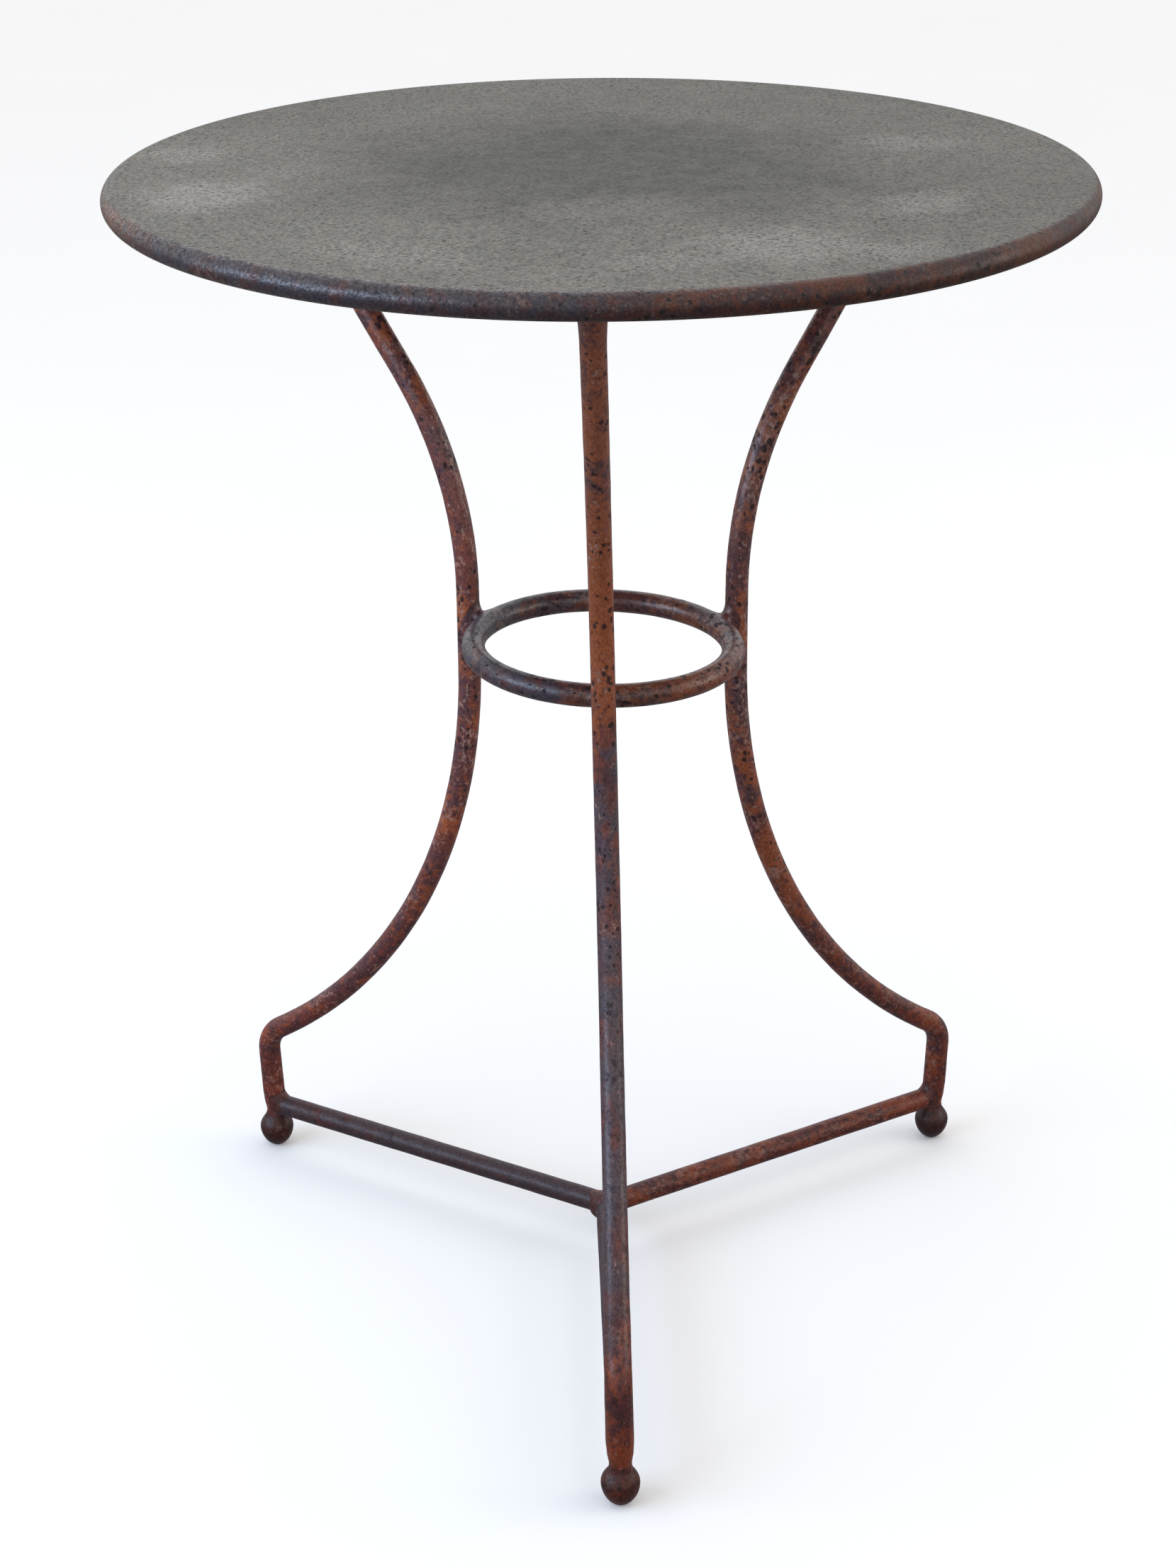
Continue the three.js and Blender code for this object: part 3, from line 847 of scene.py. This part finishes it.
def worn_sheet():
    """The sheet: grey and dull on top, going brown where it rolls over and underneath."""
    finish = Finish("worn_sheet")
    place = finish.place()
    x_here, y_here, height_here = finish.node("SeparateXYZ", {0: place}).outputs
    reach = finish.length(finish.flattened(place))

    broad = finish.cloud(place, 90 * MM, distortion=0.4)
    mottle = finish.cloud(finish.moved(place, 2), 16 * MM, detail=5, roughness=0.7, distortion=0.3)
    tint = finish.cloud(finish.moved(place, 4), 7 * MM, detail=5, roughness=0.7)
    fine = finish.cloud(place, 1.9 * MM, detail=3, roughness=0.75)

    # Grey, warmer and cooler in turn, with the dark middle and the rubbed spots.
    colour = finish.mix(finish.rise(tint, 0.36, 0.64), SHEET_COOL, SHEET_WARM)
    colour = finish.mix(0.45, colour, SHEET_GREY)
    lightness = finish.math("MULTIPLY_ADD", broad, 0.6, 0.3)
    colour = finish.shade(colour, finish.math("MULTIPLY_ADD", mottle, 0.8, lightness))
    colour = finish.mix(inside_spot(finish, place, STAIN, broad), colour, SHEET_STAIN)
    for spot in RUBBED:
        colour = finish.mix(inside_spot(finish, place, spot, mottle), colour, SHEET_WIPED)
    colour = finish.shade(colour, finish.rise(fine, 0.25, 0.75, 0.3, 1.7))
    # Painted light: the sheet is made lighter towards the front and left, where the window light
    # falls.
    corner = finish.math("ADD", x_here, y_here)
    colour = finish.shade(colour, finish.rise(corner, 0.1, -0.32, 1.0, 1.24))

    # Small dark marks in clusters, which are pits too.
    specks = finish.math("MULTIPLY_ADD", fine, 0.3, finish.cells(place, 4.4 * MM))
    specks = finish.rise(specks, 0.48, 0.36)
    clusters = finish.cloud(finish.moved(place, 6), 22 * MM, detail=3)
    marks = finish.product(specks, finish.rise(clusters, 0.36, 0.56))
    colour = finish.mix(finish.product(marks, 0.75), colour, SHEET_MARK)
    height = finish.math("MULTIPLY_ADD", fine, 0.35, finish.product(mottle, 0.6))
    height = finish.math("SUBTRACT", height, finish.product(marks, 0.5))
    roughness = finish.rise(mottle, 0.35, 0.65, 0.52, 0.64)

    # The roll and the underside were never rubbed bright.
    ragged = finish.cloud(finish.moved(place, 8), 7 * MM)
    edge = finish.math("MULTIPLY_ADD", ragged, 5 * MM, reach)
    edge = finish.math("MULTIPLY_ADD", y_here, -0.03, edge)
    low_edge, high_edge = ROLL_REACH + 6.5 * MM, ROLL_REACH + 10 * MM
    rolled = finish.rise(edge, low_edge, high_edge)
    under = finish.rise(height_here, TABLE_HEIGHT - 0.9 * MM, TABLE_HEIGHT - 1.6 * MM)
    brown = finish.math("MAXIMUM", rolled, under)
    # Painted reflection: blue is painted over the orange on the roll's front left, where the
    # window's blue highlight falls.
    painted_sheen = finish.product(finish.rise(x_here, 0.15, -0.15), finish.rise(x_here, -0.29, -0.2))
    rust_colour, rust_roughness, rust_height = rust(
        finish, place, orange=0.8, blue=0.3, spots=0.3, pale=0.5, painted_sheen=painted_sheen
    )
    # The roll is darker than the underside inside it, and darkest on its right.
    dim = finish.rise(edge, low_edge, high_edge, 0.2, 0.36)
    dim = finish.product(dim, finish.rise(x_here, 0.22, -0.1, bottom=0.62))
    hidden = finish.rise(reach, ROLL_REACH - 3 * MM, ROLL_REACH - 7 * MM)
    rust_colour = finish.shade(rust_colour, finish.blend(hidden, dim, 0.7))
    rust_height = finish.math("MULTIPLY_ADD", fine, 0.8, rust_height)
    colour = finish.mix(brown, colour, rust_colour)
    roughness = finish.blend(brown, roughness, rust_roughness)
    height = finish.blend(brown, height, rust_height)
    normal = finish.bump(height, BUMP_DEPTH)
    wax = finish.product(brown, finish.rise(x_here, 0.15, -0.1, bottom=0.2))
    wax = finish.product(wax, finish.rise(fine, 0.4, 0.62, bottom=0.05))
    return finish.surface(colour, roughness, normal, shine=0.3, wax=wax, wax_roughness=0.18)


# ---------------------------------------------------------------- pieces

def make_sheet(material):
    """The sheet, from the middle out over its edge, round and back under."""
    over = np.linspace(math.pi / 2, -math.pi, ROLL_STEPS)
    back = np.linspace(-math.pi, math.pi / 2, LINING_STEPS)
    out, up = ROLL_REACH, roll_height
    outside, inside = ROLL_RADIUS, ROLL_RADIUS - SHEET_THICKNESS
    top = [(reach, TABLE_HEIGHT) for reach in np.linspace(0, ROLL_REACH, FACE_STEPS)]
    roll = [(out + outside * math.cos(t), up + outside * math.sin(t)) for t in over]
    lining = [(out + inside * math.cos(t), up + inside * math.sin(t)) for t in back]
    underside = TABLE_HEIGHT - SHEET_THICKNESS
    under = [(reach, underside) for reach in np.linspace(ROLL_REACH, 0, UNDER_STEPS)]
    profile = np.array(top[1:] + roll[1:] + lining + under[1:-1])
    spokes = spokes_round(TOP_SIDES)
    points = spun(profile, spokes)
    # The roll was beaten round by hand, so its outside is not quite true.
    beaten = ROLL_UNEVENNESS * (0.5 + 0.5 * noise_at(points, 45 * MM, seed=9))
    on_roll = np.clip((profile[:, 0] - ROLL_REACH) / ROLL_RADIUS, 0, 1)[:, None]
    points -= spokes * (beaten * on_roll)[..., None]
    dents = SHEET_DENTS * np.clip(0.5 + noise_at(points, 110 * MM, seed=2), 0, None)
    on_face = np.clip((ROLL_REACH - profile[:, 0]) / DENTS_FADE, 0, 1)[:, None]
    points[..., 2] -= dents * on_face * on_face * (3 - 2 * on_face)
    add_rows("top_sheet", points, material, "worn_sheet")


def make_wire(material):
    line = spokes_round(TOP_SIDES) * ROLL_REACH + Z_AXIS * roll_height
    radius = ROLL_RADIUS - SHEET_THICKNESS - GAP
    add_bar("rim_wire", line, Z_AXIS, radius, material, seed=11, closed=True)


def bezier(start, first, second, end):
    t = np.linspace(0, 1, CURVE_STEPS)[:, None]
    start, first, second, end = (np.array(p) for p in (start, first, second, end))
    near_part = start * (1 - t) ** 3 + 3 * first * (1 - t) ** 2 * t
    return near_part + 3 * second * (1 - t) * t**2 + end * t**3


def ball_profile():
    """An upside-down drop: a rounded point, a full belly and a hollow run up to the neck."""
    handles = [
        [(out * BALL_RADIUS, up * BALL_WIDEST) for out, up in pair]
        for pair in (UNDERSIDE_HANDLES, SHOULDER_HANDLES)
    ]
    belly = (BALL_RADIUS, BALL_WIDEST)
    lower = bezier((BALL_FLAT, 0), *handles[0], belly)
    upper = bezier(belly, *handles[1], (BALL_NECK, BALL_TOP))
    return np.vstack([lower, upper[1:]])


def make_foot(leg, material, seed):
    spokes = spokes_round(BALL_SIDES)
    points = spun(ball_profile(), spokes)
    forged = np.clip(0.5 + 0.6 * noise_at(points, 11 * MM, seed), 0, 1.2) * BALL_UNEVENNESS
    points -= spokes * forged[..., None]
    points += ball_middle(leg)
    add_rows("foot_ball_" + leg, points, material, "dark_iron")


def in_order(points, faces):
    """The same mesh, with its points and faces in an order that never varies between runs."""
    order = np.lexsort(points.T)
    places = np.argsort(order)
    numbered = []
    for face in faces:
        corners = [int(places[corner]) for corner in face]
        first = corners.index(min(corners))
        numbered.append(corners[first:] + corners[:first])
    return points[order], sorted(numbered)


def make_brace(leg, material):
    """A flat bar from the middle to the rolled edge, mitred to meet the other two."""
    half = BRACE_WIDTH / 2
    outer = math.sqrt(brace_end**2 - half**2)
    tip = 2 * GAP
    mitre = tip + half / math.tan(math.pi / 3)
    outline = [(tip, 0), (mitre, -half), (outer, -half), (outer, half), (mitre, half)]
    bm = bmesh.new()
    base = bm.faces.new([bm.verts.new((x, y, brace_underside)) for x, y in outline])
    lifted = bmesh.ops.extrude_face_region(bm, geom=[base])["geom"]
    raised = [part for part in lifted if isinstance(part, bmesh.types.BMVert)]
    bmesh.ops.translate(bm, verts=raised, vec=(0, 0, BRACE_THICKNESS))
    bmesh.ops.bevel(
        bm, geom=bm.edges[:], offset=BRACE_EDGE, segments=3, profile=0.5, affect="EDGES"
    )
    turn = Matrix.Rotation(math.radians(LEGS[leg][0]), 3, "Z")
    bmesh.ops.rotate(bm, verts=bm.verts, cent=(0, 0, 0), matrix=turn)
    points = np.array([vert.co[:] for vert in bm.verts])
    bm.verts.index_update()
    faces = [[vert.index for vert in face.verts] for face in bm.faces]
    bm.free()
    add_piece("brace_" + leg, *in_order(points, faces), material, "dark_iron")


# ---------------------------------------------------------------- welded joints

def flat_layer(low, high):
    """A function giving how far points are outside a level layer."""
    return lambda points: np.maximum(low - points[..., 2], points[..., 2] - high)


plate = flat_layer(brace_underside, brace_underside + BRACE_THICKNESS)
under_plate = flat_layer(brace_underside - WELD_ROOM, brace_middle)


def brace_distance(leg):
    """A function giving how far points are outside a flat bar, near its outer end."""
    bearing = math.radians(LEGS[leg][0])
    along, sideways = turned(1, bearing), turned(1, bearing + math.pi / 2)

    def distance(points):
        beside = np.abs(points @ sideways) - BRACE_WIDTH / 2
        return np.maximum(np.maximum(points @ along - brace_end, beside), plate(points))

    return distance


def roll_distance(points):
    """How far points are outside the rolled edge."""
    out = np.linalg.norm(points[..., :2], axis=-1) - ROLL_REACH
    return np.hypot(out, points[..., 2] - roll_height) - ROLL_RADIUS


def lump_distance(centre, half_sizes):
    """A function giving about how far points are outside an egg-shaped lump."""
    half_sizes = np.array(half_sizes)
    return lambda points: (
        (np.linalg.norm((points - centre) / half_sizes, axis=-1) - 1) * half_sizes.min()
    )


def ball_distance(leg):
    """A function giving how far points are outside a foot ball, measured level."""
    radii, heights = ball_profile().T
    middle = ball_middle(leg)

    def distance(points):
        out = np.linalg.norm((points - middle)[..., :2], axis=-1)
        height = points[..., 2]
        return np.maximum(out - np.interp(height, heights, radii), height - BALL_TOP)

    return distance


def bar_near(line, centre):
    """The distance function of the part of a bar round a weld's middle."""
    return bar_distance(line[close_to(line, centre)], BAR_RADIUS)


def leg_near(leg, centre):
    """The distance function of the part of a leg round a weld's middle."""
    flat = leg_line()
    line = on_leg(leg, flat)
    keep = close_to(line, centre)
    return bar_distance(line[keep], leg_radii(leg, flat[keep, 1]))


def stretcher_weld_limit(leg):
    """The room for a stretcher's weld, as a distance function.

    It keeps clear of the ball and of the leg's outer side, and is no wider than the bars.
    """
    bearing = math.radians(LEGS[leg][0])
    outward, sideways = turned(1, bearing), turned(1, bearing + math.pi / 2)
    end = stretcher_end(leg)
    layer = flat_layer(BALL_TOP + NECK_CLEARANCE, STRETCHER_HEIGHT + WELD_ROOM)

    def distance(points):
        beside = np.abs((points - end) @ sideways) - BAR_RADIUS
        beyond = (points - end) @ outward - STRETCHER_SHORT
        return np.maximum(np.maximum(beside, beyond), layer(points))

    return distance


def make_leg_welds(leg, material):
    """The ring, stretcher, ball and brace welds of one leg."""
    ring = ring_line()[0]
    tie = on_leg(leg, ((RING_RADIUS + WAIST_RADIUS) / 2, RING_HEIGHT))[0]
    tie[2] -= tie[0] * math.tan(RING_TILT)
    shapes = bar_near(np.vstack([ring, ring[:1]]), tie), leg_near(leg, tie)
    add_weld("weld_ring_" + leg, "ring", *shapes, tie, material)

    bar = right_stretcher_line() if leg == "right" else bent_stretcher_line()
    foot = stretcher_end(leg) - way_to(leg) * (WELD_OFFSET - STRETCHER_SHORT)
    shapes = bar_near(bar, foot), leg_near(leg, foot)
    limit = stretcher_weld_limit(leg)
    add_weld("weld_stretcher_" + leg, "stretcher", *shapes, foot, material, limit)

    neck = ball_middle(leg) + Z_AXIS * BALL_TOP
    shapes = ball_distance(leg), leg_near(leg, neck)
    add_weld("weld_foot_" + leg, "foot", *shapes, neck, material)

    top = on_leg(leg, leg_line()[0])[0]
    shapes = leg_near(leg, top), plate
    add_weld("weld_top_" + leg, "top", *shapes, top, material, under_plate)

    edge = turned(ROLL_REACH - ROLL_RADIUS, math.radians(LEGS[leg][0]), brace_underside)
    shapes = brace_distance(leg), roll_distance
    add_weld("weld_brace_" + leg, "brace", *shapes, edge, material, under_plate)


def make_middle_welds(material):
    """The welds where the braces meet and where the stretchers meet."""
    centre = Z_AXIS * brace_underside
    shapes = lump_distance(centre, CENTRE_PAD), plate
    add_weld("weld_brace_centre", "brace_centre", *shapes, centre, material, under_plate)

    hub = stretcher_hub() + way_to("right") * WELD_OFFSET
    shapes = bar_near(bent_stretcher_line(), hub), bar_near(right_stretcher_line(), hub)
    add_weld("weld_stretcher_hub", "hub", *shapes, hub, material)


# ---------------------------------------------------------------- studio

# The camera was fitted to the photograph: its place, then its turns in degrees, in order.
CAMERA_PLACE = (-0.0158, -1.7098, 1.1202)
CAMERA_TURNS = [(-0.178, "Z"), (90 - 24.187, "X"), (-0.487, "Z")]
FOCAL_LENGTH = 66.6  # in millimetres, as the next value is
SENSOR_WIDTH = 36

# Each window: its place, its width and height, its power in watts and its colour.
WINDOWS = {
    "left_window": ((-2.15, -1.0, 1.25), (2.2, 1.2), 42, (0.54, 0.71, 1.0)),
    "right_window": ((2.4, -0.1, 1.1), (1.4, 1.2), 14, (1.0, 0.90, 0.80)),
}
WINDOWS_FACE = (0, 0, 0.45)  # the point that both are turned to

BRIGHT_WORLD = (1.05, 1.05, 1.06, 1.0)
DIM_WORLD = (0.22, 0.21, 0.21, 1.0)
WORLD_FADE = (-0.35, 0.3)  # dim below the first and bright above the second, from -1 to 1
FLOOR_COLOURS = (0.86, 0.86, 0.855), (0.89, 0.89, 0.885)
FLOOR_REACH = 40  # to the horizon, for a camera that looks level


def make_camera():
    data = bpy.data.cameras.new("camera")
    data.lens = FOCAL_LENGTH
    data.sensor_width = SENSOR_WIDTH
    camera = add_object("camera", data)
    place = Matrix.Translation(CAMERA_PLACE)
    for angle, axis in CAMERA_TURNS:
        place = place @ Matrix.Rotation(math.radians(angle), 4, axis)
    camera.matrix_world = place
    bpy.context.scene.camera = camera


def add_window(name, place, size, power, colour):
    data = bpy.data.lights.new(name, "AREA")
    data.shape = "RECTANGLE"
    data.size, data.size_y = size
    data.energy = power
    data.color = colour
    light = add_object(name, data)
    turn = (Vector(WINDOWS_FACE) - Vector(place)).to_track_quat("-Z", "Y")
    light.matrix_world = Matrix.Translation(place) @ turn.to_matrix().to_4x4()


def make_world():
    """Soft white walls and ceiling over a dim floor."""
    world = bpy.data.worlds.new("studio")
    world.use_nodes = True
    tree = world.node_tree
    background = tree.nodes["Background"]
    place = tree.nodes.new("ShaderNodeTexCoord").outputs["Generated"]
    split = tree.nodes.new("ShaderNodeSeparateXYZ")
    tree.links.new(place, split.inputs[0])
    fade = tree.nodes.new("ShaderNodeMapRange")
    fade.interpolation_type = "SMOOTHSTEP"
    tree.links.new(split.outputs["Z"], fade.inputs["Value"])
    fade.inputs["From Min"].default_value = WORLD_FADE[0]
    fade.inputs["From Max"].default_value = WORLD_FADE[1]
    mix = tree.nodes.new("ShaderNodeMix")
    mix.data_type = "RGBA"
    mix.inputs[6].default_value = DIM_WORLD
    mix.inputs[7].default_value = BRIGHT_WORLD
    tree.links.new(fade.outputs["Result"], mix.inputs[0])
    tree.links.new(mix.outputs[2], background.inputs["Color"])
    bpy.context.scene.world = world


def make_lights():
    for name, facts in WINDOWS.items():
        add_window(name, *facts)
    make_world()
    bpy.context.scene.view_settings.view_transform = "Standard"


def make_floor():
    """A pale floor that takes shadows and throws no light back up at the table."""
    finish = Finish("floor")
    tone = finish.cloud(finish.place(), 500 * MM, detail=3)
    colour = finish.mix(tone, *FLOOR_COLOURS)
    normal = finish.bump(finish.cloud(finish.place(), 4 * MM, detail=2), 0.05 * MM)
    material = finish.surface(colour, 0.9, normal, shine=0.1)
    mesh = bpy.data.meshes.new("floor")
    bm = bmesh.new()
    bmesh.ops.create_grid(bm, x_segments=8, y_segments=8, size=FLOOR_REACH)
    bm.to_mesh(mesh)
    bm.free()
    mesh.materials.append(material)
    floor = add_object("floor", mesh)
    floor.visible_diffuse = False
    floor.visible_glossy = False


# ---------------------------------------------------------------- table

def make_table():
    sheet = worn_sheet()
    steel = {name: rusted_steel(name, **facts) for name, facts in STEELS.items()}
    iron, weld = steel["dark_iron"], steel["weld_metal"]
    make_sheet(sheet)
    make_wire(iron)
    add_bar("middle_ring", *ring_line(), BAR_RADIUS, steel["bar_ring"], seed=3, closed=True)
    bent, straight = bent_stretcher_line(), right_stretcher_line()
    add_bar("stretcher_left_to_front", bent, Z_AXIS, BAR_RADIUS, steel["bar_bent"], seed=5)
    add_bar("stretcher_right", straight, Z_AXIS, BAR_RADIUS, steel["bar_hub"], seed=7)
    for seed, leg in enumerate(LEGS):
        add_leg(leg, steel["bar_" + leg], seed)
        make_foot(leg, iron, seed)
        make_brace(leg, iron)
        make_leg_welds(leg, weld)
    make_middle_welds(weld)


make_camera()
make_lights()
make_floor()
make_table()
